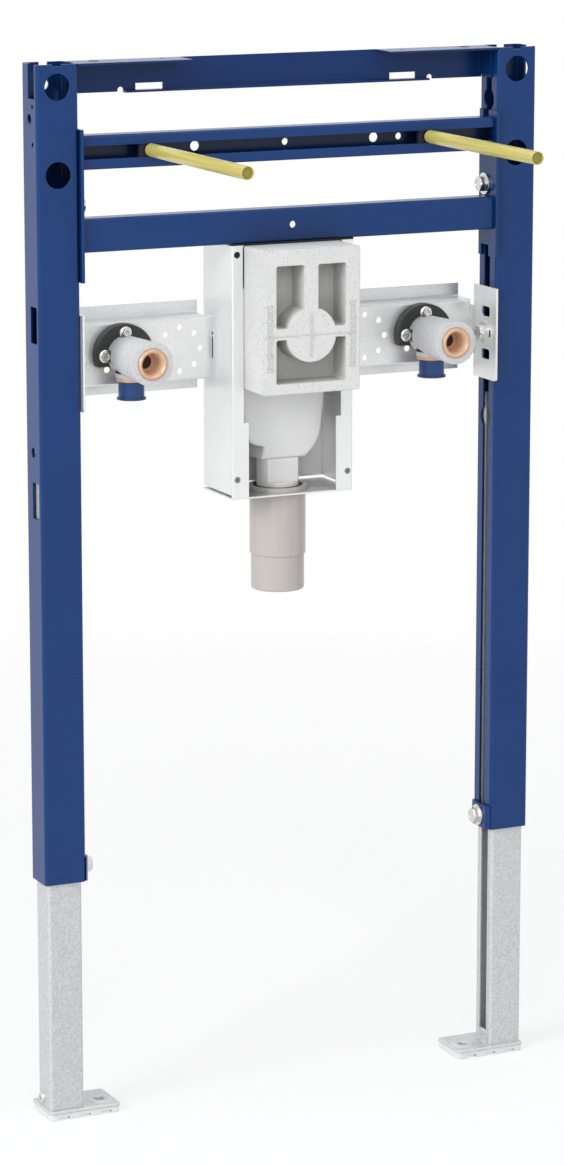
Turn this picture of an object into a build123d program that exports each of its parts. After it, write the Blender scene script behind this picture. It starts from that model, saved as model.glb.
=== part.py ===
import os

from build123d import *

os.makedirs("parts", exist_ok=True)

# The frame stands on the floor at Z = 0. X runs across it, Y towards the wall, and the posts'
# mid-depth is Y = 0, so the front plane is at -post_depth / 2.
frame_width = 500.0
frame_height = 977.0
post_length = 750.0
leg_length = 641.0
foot_lift = 8.5

# Posts: open channels with their slots facing each other
post_width = 40.0
post_depth = 35.0
post_wall = 2.0
post_corner = 3.0
post_slot = 11.0
access_hole_r = 12.0
access_hole_drop = 20.0
access_hole_pitch = 78.0
wall_hole_r = 5.0
top_notch_width = 8.4
top_notch_depth = 2.0
rear_notch_depth = 4.2
side_slot_width = 14.6
side_slot_length = 33.0
side_slot_inset = 12.6
side_slot_drops = (216.0, 376.0)
open_slot_depth = 30.6
cross_hole_drops = (48.7, 348.7)
side_hole_r = 4.5
keyhole_r = 10.0
pin_hole_r = 2.2
pin_hole_inset = 10.2
pin_hole_drops = (37.5, 71.0)

# Legs: smaller channels that telescope in the posts
leg_side_gap = 1.3
leg_face_gap = 0.75
leg_wall = 2.0
leg_corner = 2.5
leg_slot = 14.5

# Foot plates of sheet on sound-deadening pads
foot_reach = 32.0
foot_setback = 1.5
foot_depth = 46.4
foot_shift = 4.8
foot_sheet = 2.5
foot_corner = 3.0
anchor_hole_r = 5.5
anchor_inset = 18.0
anchor_ring_r = 11.0
anchor_ring_height = 1.0
foot_tab_height = 13.0
foot_tab_gap = 0.5
foot_tab_hole_r = 1.8
foot_tab_hole_rise = 6.0
foot_slit_width = 1.5
foot_slit_inset = 4.6
pad_margin = 0.8
pad_groove_width = 11.0
pad_groove_height = 2.6
pad_groove_count = 3
pad_groove_pitch = 21.0

# Clamps at the lower ends of the posts, and the bolts in the post slots
clamp_height = 22.8
clamp_lift = 0.5
clamp_sheet = 3.5
clamp_edge = 0.5
clamp_bevel = 4.5
bolt_r = 4.0
bolt_hole_r = 4.5
flange_r = 10.2
flange_height = 2.0
hex_across_flats = 13.4
hex_height = 5.2
slot_nut_width = 13.4
slot_nut_length = 20.0
slot_nut_height = 5.0
clamp_nut_width = 20.0
clamp_nut_length = 18.0
clamp_nut_gap = 0.4

# Top rail: a web at the back, with a lower lip and a top flange at each end
rail_sheet = 2.0
rail_bend = 2.5
top_rail_height = 30.0
top_rail_lip = 8.0
top_lip_length = 311.0
top_flange_start = 99.0
rail_relief = 0.9
relief_hole_r = 3.0
rail_window_length = 27.0
rail_window_height = 5.8
rail_window_x = 127.5
flange_hole_r = 5.2
flange_hole_x = 186.0
flange_hole_inset = 22.0
flange_pin_r = 2.2
flange_pin_x = 120.0
flange_pin_inset = 20.0
end_tab_width = 22.0

# Fixing rail and lower rail
rail_height = 30.6
rail_depth = 19.0
rail_slot = 12.0
fixing_rail_drop = 64.0
lower_rail_drop = 138.0
web_hole_r = 4.5
web_hole_xs = (-90.0, 90.0)
small_hole_r = 3.15
small_hole_xs = (0.0, 115.7)

# End plates that carry the two lower rails
end_plate_sheet = 3.0
end_plate_proud = 4.4
end_plate_rear = 30.0
end_plate_rise = 5.8
end_plate_drop = 26.4
end_bolt_drop = 127.5
end_notch_width = 15.0
end_notch_height = 10.5
top_end_notch_width = 11.0
top_end_notch_height = 7.5

# Threaded rods for the basin, with protecting sleeves
rod_spacing = 280.0
rod_r = 5.0
rod_recess = 12.0
rod_tail = 4.0
sleeve_length = 207.0
sleeve_r = 6.1
sleeve_bore_gap = 0.2
rod_plate_width = 22.0
rod_plate_height = 18.0
rod_plate_sheet = 5.0

# Trap box of folded sheet, hung under the lower rail
box_width = 123.0
box_depth = 65.0
box_height = 236.0
box_sheet = 1.5
box_bend = 2.0
box_flange = 12.0
box_wide_flange = 17.0
box_wide_height = 69.6
box_ear_height = 24.0
box_lid_ear_height = 12.0
box_ear_margin = 0.3
box_vent = 2.5
box_screw_r = 2.6
box_screw_inset = 5.4
box_screw_rise = 17.0
box_screw_drop = 8.4

# Foam plug that closes the trap box until the basin is fitted
plug_proud = 39.7
plug_depth = 57.0
plug_height = 132.5
plug_side_gap = 0.5
plug_top_gap = 0.4
plug_corner = 2.5
plug_recess = 27.0
plug_rim = 14.0
plug_top_rim = 15.0
plug_bottom_rim = 9.5
plug_bar = 14.0
plug_cross_bar = 10.2
plug_cross_rise = 6.9
plug_boss_r = 25.0
plug_boss_drop = 79.1
window_corner = 2.0

# Trap and waste
pipe_inset = 33.5
trap_width = 86.8
trap_shoulder_width = 79.6
trap_front_inset = 20.3
trap_height = 124.0
trap_straight = 59.0
trap_shoulder_rise = 28.7
trap_spout_width = 45.0
trap_heel_x = 23.0
trap_heel_rise = 12.9
trap_waist_x = 19.8
trap_waist_rise = 11.5
trap_lift = 29.6
trap_fillet = 3.0
outlet_r = 19.5
outlet_wall = 2.0
outlet_depth_in_pipe = 26.0
outlet_flat_inset = 1.5
outlet_flat_lift = 4.0
pipe_r = 26.2
pipe_wall = 2.7
pipe_length = 60.0
pipe_rim_r = 27.5
pipe_rim_height = 3.5
pipe_hole_gap = 0.3
pipe_step_round = 1.0
spigot_r = 24.9
spigot_length = 33.5
spigot_wall = 2.6
spigot_round = 2.0
seal_gap = 0.1
seal_height = 8.0

# Tap rail of hat section on each side of the trap box, with end brackets on the posts
tap_spacing = 306.0
tap_drop = 268.2
tap_web_inset = 42.5
tap_web_height = 58.0
tap_ledge = 25.0
tap_flange = 12.0
tap_sheet = 1.5
tap_bend = 2.2
tap_end_gap = 2.5
tap_tab_gap = 4.8
tap_tab_reach = 5.5
tap_tab_height = 55.0
tab_slit_width = 1.2
tab_slit_length = 21.5
ring_r = 20.3
ring_hole_r = 2.9
ring_count = 8
spare_ring_x = 94.6
bracket_sheet = 2.0
bracket_height = 87.7
bracket_proud = 5.0
bracket_rear = 40.0
bracket_round = 3.0
bracket_slot_width = 16.0
bracket_slot_height = 9.6
bracket_slot_corner = 2.5
bracket_slot_pitch = 40.4
bracket_slot_inset = 15.8
bracket_hole_width = 5.0
bracket_hole_height = 8.0
bracket_hole_inset = 8.2
bracket_foot_length = 18.0
bracket_foot_height = 46.0

# Wall plate elbows for the taps
disc_r = 28.3
disc_thickness = 10.3
disc_flat_drop = 10.0
disc_edge = 1.0
socket_r = 14.0
socket_bore_r = 10.3
socket_depth = 20.0
socket_proud = 32.0
socket_edge = 1.2
waterway_r = 6.5
waterway_depth = 8.0
elbow_inset = 19.4
elbow_leg_r = 9.8
elbow_leg_drop = 15.0
elbow_ring_r = 14.0
elbow_ring_height = 6.5
elbow_tail = 12.0
insulation_back_r = 18.0
insulation_front_r = 20.2
insulation_gap = 0.3
insulation_setback = 2.0
screw_pocket_r = 6.8
screw_pocket_depth = 8.0
cap_r = 11.9
cap_rim_r = 13.5
cap_height = 17.0
cap_rim_height = 1.6
cap_floor = 2.0
cap_gap = 0.3

# Places worked out from the sizes above
post_lift = frame_height - post_length
post_top = frame_height
front_y = -post_depth / 2
back_y = post_depth / 2
post_x = (frame_width - post_width) / 2
inner_x = frame_width / 2 - post_width
leg_width = post_width - 2 * (post_wall + leg_side_gap)
leg_depth = post_depth - 2 * (post_wall + leg_face_gap)
leg_inner_x = post_x - leg_width / 2
bracket_x = inner_x - bracket_sheet
plate_x = inner_x - end_plate_sheet
fixing_top = post_top - fixing_rail_drop
lower_top = post_top - lower_rail_drop
rod_z = fixing_top - rail_height / 2
lower_z = lower_top - rail_height / 2
box_top = lower_top - rail_height
box_floor = box_top - box_height
box_back_y = front_y + box_depth
pipe_y = front_y + pipe_inset
trap_bottom = box_floor + box_sheet + trap_lift
pipe_top = box_floor + box_sheet + pipe_rim_height
tap_z = post_top - tap_drop
tap_web_y = front_y + tap_web_inset
tap_x = tap_spacing / 2
sides = (("left", -1), ("right", 1))


def save(piece, name):
    piece.part.label = name
    export_step(piece.part, f"parts/{name}.step")


def channel(width, depth, wall, corner, slot, side):
    # Section of a channel whose slot opens towards the middle of the frame
    with Locations((side * post_x, 0)):
        RectangleRounded(width, depth, corner)
        RectangleRounded(width - 2 * wall, depth - 2 * wall, corner - wall, mode=Mode.SUBTRACT)
    with Locations((side * (post_x - width / 2), 0)):
        Rectangle(4 * wall, slot, mode=Mode.SUBTRACT)


def slotted_rail(middle_z, slot_y):
    # Section of a rail between the end plates, with its slot on the side at slot_y
    inner_height = rail_height - 2 * rail_sheet
    with Locations((front_y + rail_depth / 2, middle_z)):
        RectangleRounded(rail_depth, rail_height, rail_bend)
        RectangleRounded(rail_depth - 2 * rail_sheet, inner_height, rail_bend - rail_sheet,
                         mode=Mode.SUBTRACT)
    with Locations((slot_y, middle_z)):
        Rectangle(4 * rail_sheet, rail_slot, mode=Mode.SUBTRACT)


def folded_strip(plane, points, bend, sheet, inside):
    # Section of a folded sheet: the outer line through the points, thickened to its inside
    with BuildSketch(plane) as strip:
        with BuildLine():
            FilletPolyline(*points, radius=bend)
            offset(amount=sheet, side=inside)
        make_face()
    return strip.sketch


def slot_bolt(seat_x, height, nut_x, nut_width, nut_length, side):
    # Flanged hex bolt along X: its head on a plate at seat_x, its nut inside the channel at nut_x
    with BuildPart() as bolt:
        with BuildSketch(Plane.YZ.offset(side * seat_x)):
            with Locations((0, height)):
                Circle(flange_r)
        extrude(amount=-side * flange_height)
        with BuildSketch(Plane.YZ.offset(side * (seat_x - flange_height))):
            with Locations((0, height)):
                RegularPolygon(hex_across_flats / 2, 6, major_radius=False)
        extrude(amount=-side * hex_height)
        with BuildSketch(Plane.YZ.offset(side * seat_x)):
            with Locations((0, height)):
                Circle(bolt_r)
        extrude(amount=side * (nut_x - seat_x))
        with BuildSketch(Plane.YZ.offset(side * nut_x)):
            with Locations((0, height)):
                Rectangle(nut_width, nut_length)
        extrude(amount=side * slot_nut_height)
    return bolt


# Posts
access_z = post_top - access_hole_drop
lower_access_z = access_z - access_hole_pitch
slot_y = front_y + side_slot_inset
for name, side in sides:
    with BuildPart() as post:
        with BuildSketch(Plane.XY.offset(post_lift)):
            channel(post_width, post_depth, post_wall, post_corner, post_slot, side)
        extrude(amount=post_length)
        with BuildSketch(Plane.XZ.offset(-front_y)):
            with Locations((side * post_x, access_z), (side * post_x, lower_access_z)):
                Circle(access_hole_r)
            with Locations((side * post_x, post_top)):
                Rectangle(top_notch_width, 2 * top_notch_depth)
        extrude(amount=-2 * post_wall, mode=Mode.SUBTRACT)
        with BuildSketch(Plane.XZ.offset(-back_y)):
            with Locations((side * post_x, access_z)):
                Circle(wall_hole_r)
            with Locations((side * post_x, post_top)):
                Rectangle(top_notch_width, 2 * rear_notch_depth)
        extrude(amount=2 * post_wall, mode=Mode.SUBTRACT)
        with BuildSketch(Plane.YZ.offset(side * frame_width / 2)):
            with Locations((slot_y, post_top)):
                Rectangle(side_slot_width, 2 * open_slot_depth)
            for drop in side_slot_drops:
                with Locations((slot_y, post_top - drop)):
                    Rectangle(side_slot_width, side_slot_length, align=(Align.CENTER, Align.MAX))
            for drop in cross_hole_drops:
                with Locations((0, post_top - drop)):
                    Circle(side_hole_r)
            for drop in pin_hole_drops:
                with Locations((front_y + pin_hole_inset, post_top - drop)):
                    Circle(pin_hole_r)
        extrude(amount=-2 * side * post_wall, mode=Mode.SUBTRACT)
        with BuildSketch(Plane.YZ.offset(side * inner_x)):
            for drop in cross_hole_drops:
                with Locations((0, post_top - drop)):
                    Circle(keyhole_r)
        extrude(amount=2 * side * post_wall, mode=Mode.SUBTRACT)
    save(post, f"{name}_post")

# Legs
for name, side in sides:
    with BuildPart() as leg:
        with BuildSketch(Plane.XY.offset(foot_lift)):
            channel(leg_width, leg_depth, leg_wall, leg_corner, leg_slot, side)
        extrude(amount=leg_length)
    save(leg, f"{name}_leg")

# Foot plates: a sheet with a ring pressed up round the floor bolt and a tab that stands in the leg's slot
foot_width = foot_reach + post_width - foot_setback
foot_x = inner_x - foot_reach + foot_width / 2
anchor_x = inner_x - anchor_inset
pad_height = foot_lift - foot_sheet
foot_tab_width = leg_slot - 2 * foot_tab_gap
for name, side in sides:
    with BuildPart() as foot:
        with BuildSketch(Plane.XY.offset(pad_height)):
            with Locations((side * foot_x, foot_shift)):
                RectangleRounded(foot_width, foot_depth, foot_corner)
        extrude(amount=foot_sheet)
        with BuildSketch(Plane.XY.offset(foot_lift)):
            with Locations((side * anchor_x, 0)):
                Circle(anchor_ring_r)
        extrude(amount=anchor_ring_height, taper=45)
        with BuildSketch(Plane.XY.offset(pad_height)):
            with Locations((side * anchor_x, 0)):
                Circle(anchor_hole_r)
        extrude(amount=foot_lift, mode=Mode.SUBTRACT)
        with BuildSketch(Plane.YZ.offset(side * leg_inner_x)):
            with Locations((0, foot_lift)):
                Rectangle(foot_tab_width, foot_tab_height, align=(Align.CENTER, Align.MIN))
            with Locations((0, foot_lift + foot_tab_hole_rise)):
                Circle(foot_tab_hole_r, mode=Mode.SUBTRACT)
            with Locations((foot_slit_inset, foot_lift)):
                Rectangle(foot_slit_width, foot_tab_height, align=(Align.CENTER, Align.MIN),
                          mode=Mode.SUBTRACT)
        extrude(amount=side * foot_sheet)
    save(foot, f"{name}_foot_plate")

    with BuildPart() as pad:
        with BuildSketch(Plane.XY):
            with Locations((side * foot_x, foot_shift)):
                RectangleRounded(foot_width - 2 * pad_margin, foot_depth - 2 * pad_margin, foot_corner)
        extrude(amount=pad_height)
        with BuildSketch(Plane.XZ.offset(-foot_shift)):
            with Locations((side * foot_x, 0)):
                with GridLocations(pad_groove_pitch, 0, pad_groove_count, 1):
                    Rectangle(pad_groove_width, 2 * pad_groove_height)
        extrude(amount=foot_depth, both=True, mode=Mode.SUBTRACT)
        with BuildSketch(Plane.XY):
            with Locations((side * anchor_x, 0)):
                Circle(anchor_ring_r)
        extrude(amount=pad_height)
        with BuildSketch(Plane.XY):
            with Locations((side * anchor_x, 0)):
                Circle(anchor_hole_r)
        extrude(amount=pad_height, mode=Mode.SUBTRACT)
    save(pad, f"{name}_foot_pad")

# Clamps and their bolts, whose nuts lie inside the legs
clamp_z = post_lift + clamp_lift + clamp_height / 2
clamp_x = inner_x - clamp_sheet
clamp_nut_x = leg_inner_x + leg_wall + clamp_nut_gap
for name, side in sides:
    with BuildPart() as clamp:
        with BuildSketch(Plane.XY.offset(post_lift + clamp_lift)):
            with BuildLine():
                Polyline(
                    (side * inner_x, front_y),
                    (side * (inner_x - clamp_edge), front_y),
                    (side * clamp_x, front_y + clamp_bevel),
                    (side * clamp_x, back_y - clamp_bevel),
                    (side * (inner_x - clamp_edge), back_y),
                    (side * inner_x, back_y),
                    close=True,
                )
            make_face()
        extrude(amount=clamp_height)
        with BuildSketch(Plane.YZ.offset(side * inner_x)):
            with Locations((0, clamp_z)):
                Circle(bolt_hole_r)
        extrude(amount=-side * clamp_sheet, mode=Mode.SUBTRACT)
    save(clamp, f"{name}_leg_clamp")
    clamp_bolt = slot_bolt(clamp_x, clamp_z, clamp_nut_x, clamp_nut_width, clamp_nut_length, side)
    save(clamp_bolt, f"{name}_clamp_bolt")

# Top rail: one folded sheet, its flange cut away in the middle and its lip towards the ends
lip_z = post_top - top_rail_height
web_front_y = back_y - rail_sheet
with BuildPart() as top_rail:
    rail_line = [
        (front_y, post_top),
        (back_y, post_top),
        (back_y, lip_z),
        (back_y - top_rail_lip, lip_z),
    ]
    extrude(folded_strip(Plane.YZ, rail_line, rail_bend, rail_sheet, Side.RIGHT), amount=inner_x, both=True)
    for end in (-1, 1):
        with BuildSketch(Plane.YZ.offset(end * inner_x)):
            with Locations((web_front_y, post_top - rail_sheet)):
                Rectangle(end_tab_width, top_rail_height - 2 * rail_sheet, align=(Align.MAX, Align.MAX))
        extrude(amount=-end * rail_sheet)
    with BuildSketch(Plane.XY.offset(post_top)):
        with Locations((0, web_front_y)):
            Rectangle(2 * top_flange_start, post_depth, align=(Align.CENTER, Align.MAX))
        for end in (-1, 1):
            with Locations((end * flange_hole_x, front_y + flange_hole_inset)):
                Circle(flange_hole_r)
            with Locations((end * flange_pin_x, front_y + flange_pin_inset)):
                Circle(flange_pin_r)
    extrude(amount=-2 * rail_sheet, mode=Mode.SUBTRACT)
    with BuildSketch(Plane.XZ.offset(-back_y)):
        for end in (-1, 1):
            with Locations((end * top_lip_length / 2, lip_z)):
                Rectangle(inner_x - top_lip_length / 2, rail_sheet + rail_relief,
                          align=(Align.MIN if end > 0 else Align.MAX, Align.MIN))
            with Locations((end * top_lip_length / 2, lip_z + rail_sheet)):
                Circle(relief_hole_r)
            with Locations((end * rail_window_x, lip_z + rail_sheet)):
                Rectangle(rail_window_length, rail_window_height, align=(Align.CENTER, Align.MIN))
    extrude(amount=2 * top_rail_lip, mode=Mode.SUBTRACT)
save(top_rail, "top_rail")

# Fixing rail, open to the front for the rods, and lower rail, open to the back
with BuildPart() as fixing_rail:
    with BuildSketch(Plane.YZ):
        slotted_rail(rod_z, front_y)
    extrude(amount=plate_x, both=True)
    with BuildSketch(Plane.XZ.offset(-front_y - rail_depth)):
        for hole_x in web_hole_xs:
            with Locations((hole_x, rod_z)):
                Circle(web_hole_r)
        for hole_x in small_hole_xs:
            with Locations((hole_x, rod_z)):
                Circle(small_hole_r)
    extrude(amount=2 * rail_sheet, mode=Mode.SUBTRACT)
save(fixing_rail, "fixing_rail")

with BuildPart() as lower_rail:
    with BuildSketch(Plane.YZ):
        slotted_rail(lower_z, front_y + rail_depth)
    extrude(amount=plate_x, both=True)
    with BuildSketch(Plane.XZ.offset(-front_y)):
        with Locations((0, lower_z)):
            Circle(small_hole_r)
    extrude(amount=-2 * rail_sheet, mode=Mode.SUBTRACT)
save(lower_rail, "lower_rail")

# End plates of the two rails, bolted to the post slots
end_plate_top = fixing_top + end_plate_rise
end_plate_bottom = lower_top - rail_height - end_plate_drop
end_plate_height = end_plate_top - end_plate_bottom
end_bolt_z = post_top - end_bolt_drop
for name, side in sides:
    with BuildPart() as end_plate:
        with BuildSketch(Plane.YZ.offset(side * inner_x)):
            with Locations((front_y - end_plate_proud, end_plate_bottom)):
                Rectangle(end_plate_proud + end_plate_rear, end_plate_height, align=(Align.MIN, Align.MIN))
            with Locations((0, end_bolt_z)):
                Circle(bolt_hole_r, mode=Mode.SUBTRACT)
            with Locations((0, end_plate_bottom)):
                Rectangle(end_notch_width, 2 * end_notch_height, mode=Mode.SUBTRACT)
            with Locations((0, end_plate_top)):
                Rectangle(top_end_notch_width, 2 * top_end_notch_height, mode=Mode.SUBTRACT)
        extrude(amount=-side * end_plate_sheet)
    save(end_plate, f"{name}_end_plate")
    end_bolt = slot_bolt(plate_x, end_bolt_z, inner_x + post_wall, slot_nut_width, slot_nut_length, side)
    save(end_bolt, f"{name}_end_plate_bolt")

# Threaded rods with their slot plates, and the sleeves over them
for name, side in sides:
    rod_x = side * rod_spacing / 2
    with BuildPart() as rod:
        with BuildSketch(Plane.XZ.offset(-front_y + sleeve_length - rod_recess)):
            with Locations((rod_x, rod_z)):
                Circle(rod_r)
        extrude(amount=-(sleeve_length - rod_recess + rail_sheet + rod_plate_sheet + rod_tail))
        with BuildSketch(Plane.XZ.offset(-front_y - rail_sheet)):
            with Locations((rod_x, rod_z)):
                Rectangle(rod_plate_width, rod_plate_height)
        extrude(amount=-rod_plate_sheet)
    save(rod, f"{name}_rod")
    with BuildPart() as sleeve:
        with BuildSketch(Plane.XZ.offset(-front_y)):
            with Locations((rod_x, rod_z)):
                Circle(sleeve_r)
                Circle(rod_r + sleeve_bore_gap, mode=Mode.SUBTRACT)
        extrude(amount=sleeve_length)
    save(sleeve, f"{name}_rod_sleeve")

# Trap box: one folded sheet with front flanges, a top plate and a floor plate
box_x = box_width / 2
wrap_bottom = box_floor + box_sheet
wrap_top = box_top - box_sheet
wrap_height = wrap_top - wrap_bottom
narrow_bottom = wrap_bottom + box_wide_height
screw_bottom = wrap_bottom + box_screw_rise
screw_top = wrap_top - box_screw_drop
with BuildPart() as trap_box:
    wrap_line = [
        (-box_x + box_wide_flange, front_y),
        (-box_x, front_y),
        (-box_x, box_back_y),
        (box_x, box_back_y),
        (box_x, front_y),
        (box_x - box_wide_flange, front_y),
    ]
    wrap_plane = Plane.XY.offset(wrap_bottom)
    extrude(folded_strip(wrap_plane, wrap_line, box_bend, box_sheet, Side.RIGHT), amount=wrap_height)
    with BuildSketch(Plane.XZ.offset(-front_y)):
        with Locations((0, narrow_bottom)):
            Rectangle(box_width - 2 * box_flange, wrap_top - narrow_bottom, align=(Align.CENTER, Align.MIN))
        for corner_x in (-1, 1):
            for screw_z in (screw_bottom, screw_top):
                with Locations((corner_x * (box_x - box_screw_inset), screw_z)):
                    Circle(box_screw_r)
    extrude(amount=-2 * box_sheet, mode=Mode.SUBTRACT)
    with BuildSketch(Plane.XY.offset(wrap_bottom)):
        with Locations((0, front_y + box_sheet)):
            Rectangle(2 * box_width, box_depth, align=(Align.CENTER, Align.MIN))
    extrude(amount=box_vent, mode=Mode.SUBTRACT)
save(trap_box, "trap_box")

box_ear_width = box_flange - box_sheet - 2 * box_ear_margin
ear_x = box_x - box_sheet - box_ear_margin - box_ear_width / 2
ear_y = front_y + box_sheet + box_ear_margin + box_sheet / 2
with BuildPart() as box_plate:
    with BuildSketch(Plane.XY.offset(box_floor)):
        with Locations((0, front_y)):
            Rectangle(box_width, box_depth, align=(Align.CENTER, Align.MIN))
        with Locations((0, pipe_y)):
            Circle(pipe_r + pipe_hole_gap, mode=Mode.SUBTRACT)
    extrude(amount=box_sheet)
    with BuildSketch(Plane.XY.offset(wrap_bottom)):
        with Locations((-ear_x, ear_y), (ear_x, ear_y)):
            Rectangle(box_ear_width, box_sheet)
    extrude(amount=box_ear_height)
save(box_plate, "trap_box_floor")

with BuildPart() as box_lid:
    with BuildSketch(Plane.XY.offset(wrap_top)):
        with Locations((0, front_y)):
            Rectangle(box_width, box_depth, align=(Align.CENTER, Align.MIN))
    extrude(amount=box_sheet)
    with BuildSketch(Plane.XY.offset(wrap_top)):
        with Locations((-ear_x, ear_y), (ear_x, ear_y)):
            Rectangle(box_ear_width, box_sheet)
    extrude(amount=-box_lid_ear_height)
save(box_lid, "trap_box_top")

# Foam plug with three recesses round a cross bar and a round boss
plug_width = box_width - 2 * box_flange - 2 * plug_side_gap
plug_top = wrap_top - plug_top_gap
plug_y = front_y - plug_proud
boss_z = plug_top - plug_boss_drop
window_width = (plug_width - 2 * plug_rim - plug_bar) / 2
upper_sill = boss_z + plug_cross_rise
upper_window_height = plug_top - plug_top_rim - upper_sill
lower_head = upper_sill - plug_cross_bar
lower_window_height = lower_head - plug_top + plug_height - plug_bottom_rim
with BuildPart() as plug:
    with BuildSketch(Plane.XZ.offset(-plug_y)):
        with Locations((0, plug_top)):
            Rectangle(plug_width, plug_height, align=(Align.CENTER, Align.MAX))
    extrude(amount=-plug_depth)
    fillet(plug.edges().filter_by(Axis.Y), plug_corner)
    with BuildSketch(Plane.XZ.offset(-plug_y)):
        for side in (-1, 1):
            with Locations((side * (plug_bar + window_width) / 2, plug_top - plug_top_rim)):
                RectangleRounded(window_width, upper_window_height, window_corner,
                                 align=(Align.CENTER, Align.MAX))
        with Locations((0, lower_head)):
            RectangleRounded(plug_width - 2 * plug_rim, lower_window_height, window_corner,
                             align=(Align.CENTER, Align.MAX))
        with Locations((0, boss_z)):
            Circle(plug_boss_r, mode=Mode.SUBTRACT)
    extrude(amount=-plug_recess, mode=Mode.SUBTRACT)
save(plug, "foam_plug")

# Trap body: a hopper that narrows to a spout over the outlet, with a heel on its left
trap_top = trap_bottom + trap_height
hopper_end = trap_top - trap_straight
shoulder_z = trap_bottom + trap_shoulder_rise
half_trap = trap_width / 2
half_shoulder = trap_shoulder_width / 2
half_spout = trap_spout_width / 2
heel = (-trap_heel_x, trap_bottom + trap_heel_rise)
with BuildPart() as trap:
    with BuildSketch(Plane.XZ.offset(-front_y - trap_front_inset)):
        with BuildLine():
            Polyline(
                heel,
                (-trap_waist_x, trap_bottom + trap_waist_rise),
                (-half_spout, trap_bottom),
                (half_spout, trap_bottom),
            )
            Polyline(
                (half_shoulder, shoulder_z),
                (half_trap, hopper_end),
                (half_trap, trap_top),
                (-half_trap, trap_top),
                (-half_trap, hopper_end),
                (-half_shoulder, shoulder_z),
            )
            taper_x, taper_z = half_trap - half_shoulder, shoulder_z - hopper_end
            TangentArc((-half_shoulder, shoulder_z), heel, tangent=(taper_x, taper_z))
            TangentArc((half_shoulder, shoulder_z), (half_spout, trap_bottom), tangent=(-taper_x, taper_z))
        make_face()
    extrude(amount=-(box_depth - box_sheet - trap_front_inset))
    front_rim = trap.faces().sort_by(Axis.Y)[0].edges()
    fillet(front_rim, trap_fillet)
save(trap, "trap_body")

# White outlet with a flat front, the seal round it, and the waste pipe through the floor plate
flat_y = front_y + trap_front_inset + outlet_flat_inset
flat_bottom = pipe_top + outlet_flat_lift
flat_height = trap_bottom - flat_bottom
flat_half = (outlet_r**2 - (pipe_y - flat_y) ** 2) ** 0.5
with BuildPart() as outlet:
    with BuildSketch(Plane.XY.offset(trap_bottom)):
        with Locations((0, pipe_y)):
            Circle(outlet_r)
            Circle(outlet_r - outlet_wall, mode=Mode.SUBTRACT)
    extrude(amount=-(trap_bottom - pipe_top + outlet_depth_in_pipe))
    with BuildSketch(Plane.XY.offset(flat_bottom)):
        with Locations((0, flat_y)):
            Rectangle(2 * outlet_r, outlet_r, align=(Align.CENTER, Align.MAX))
    extrude(amount=flat_height, mode=Mode.SUBTRACT)
    with BuildSketch(Plane.XY.offset(flat_bottom)):
        with Locations((0, flat_y)):
            Rectangle(2 * flat_half, outlet_wall, align=(Align.CENTER, Align.MIN))
    extrude(amount=flat_height)
    with BuildSketch(Plane.XY.offset(flat_bottom)):
        with Locations((0, pipe_y)):
            Circle(outlet_r)
        with Locations((0, flat_y + outlet_wall)):
            Rectangle(2 * outlet_r, outlet_r, align=(Align.CENTER, Align.MAX), mode=Mode.INTERSECT)
    extrude(amount=-outlet_wall)
save(outlet, "trap_outlet")

pipe_bottom = box_floor - pipe_length
spigot_bottom = pipe_bottom - spigot_length
with BuildPart() as waste_pipe:
    with BuildSketch(Plane.XY.offset(pipe_bottom)):
        with Locations((0, pipe_y)):
            Circle(pipe_r)
    extrude(amount=pipe_top - pipe_bottom)
    fillet(waste_pipe.edges().filter_by(GeomType.CIRCLE).sort_by(Axis.Z)[0], pipe_step_round)
    with BuildSketch(Plane.XY.offset(wrap_bottom)):
        with Locations((0, pipe_y)):
            Circle(pipe_rim_r)
    extrude(amount=pipe_rim_height)
    with BuildSketch(Plane.XY.offset(spigot_bottom)):
        with Locations((0, pipe_y)):
            Circle(spigot_r)
    extrude(amount=spigot_length)
    fillet(waste_pipe.edges().filter_by(GeomType.CIRCLE).sort_by(Axis.Z)[0], spigot_round)
    with BuildSketch(Plane.XY.offset(pipe_top)):
        with Locations((0, pipe_y)):
            Circle(pipe_r - pipe_wall)
    extrude(amount=-(pipe_top - pipe_bottom), mode=Mode.SUBTRACT)
    with BuildSketch(Plane.XY.offset(spigot_bottom)):
        with Locations((0, pipe_y)):
            Circle(spigot_r - spigot_wall)
    extrude(amount=spigot_length, mode=Mode.SUBTRACT)
save(waste_pipe, "waste_pipe")

with BuildPart() as seal:
    with BuildSketch(Plane.XY.offset(pipe_top)):
        with Locations((0, pipe_y)):
            Circle(pipe_r - pipe_wall - seal_gap)
            Circle(outlet_r + seal_gap, mode=Mode.SUBTRACT)
    extrude(amount=-seal_height)
save(seal, "pipe_seal")

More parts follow.
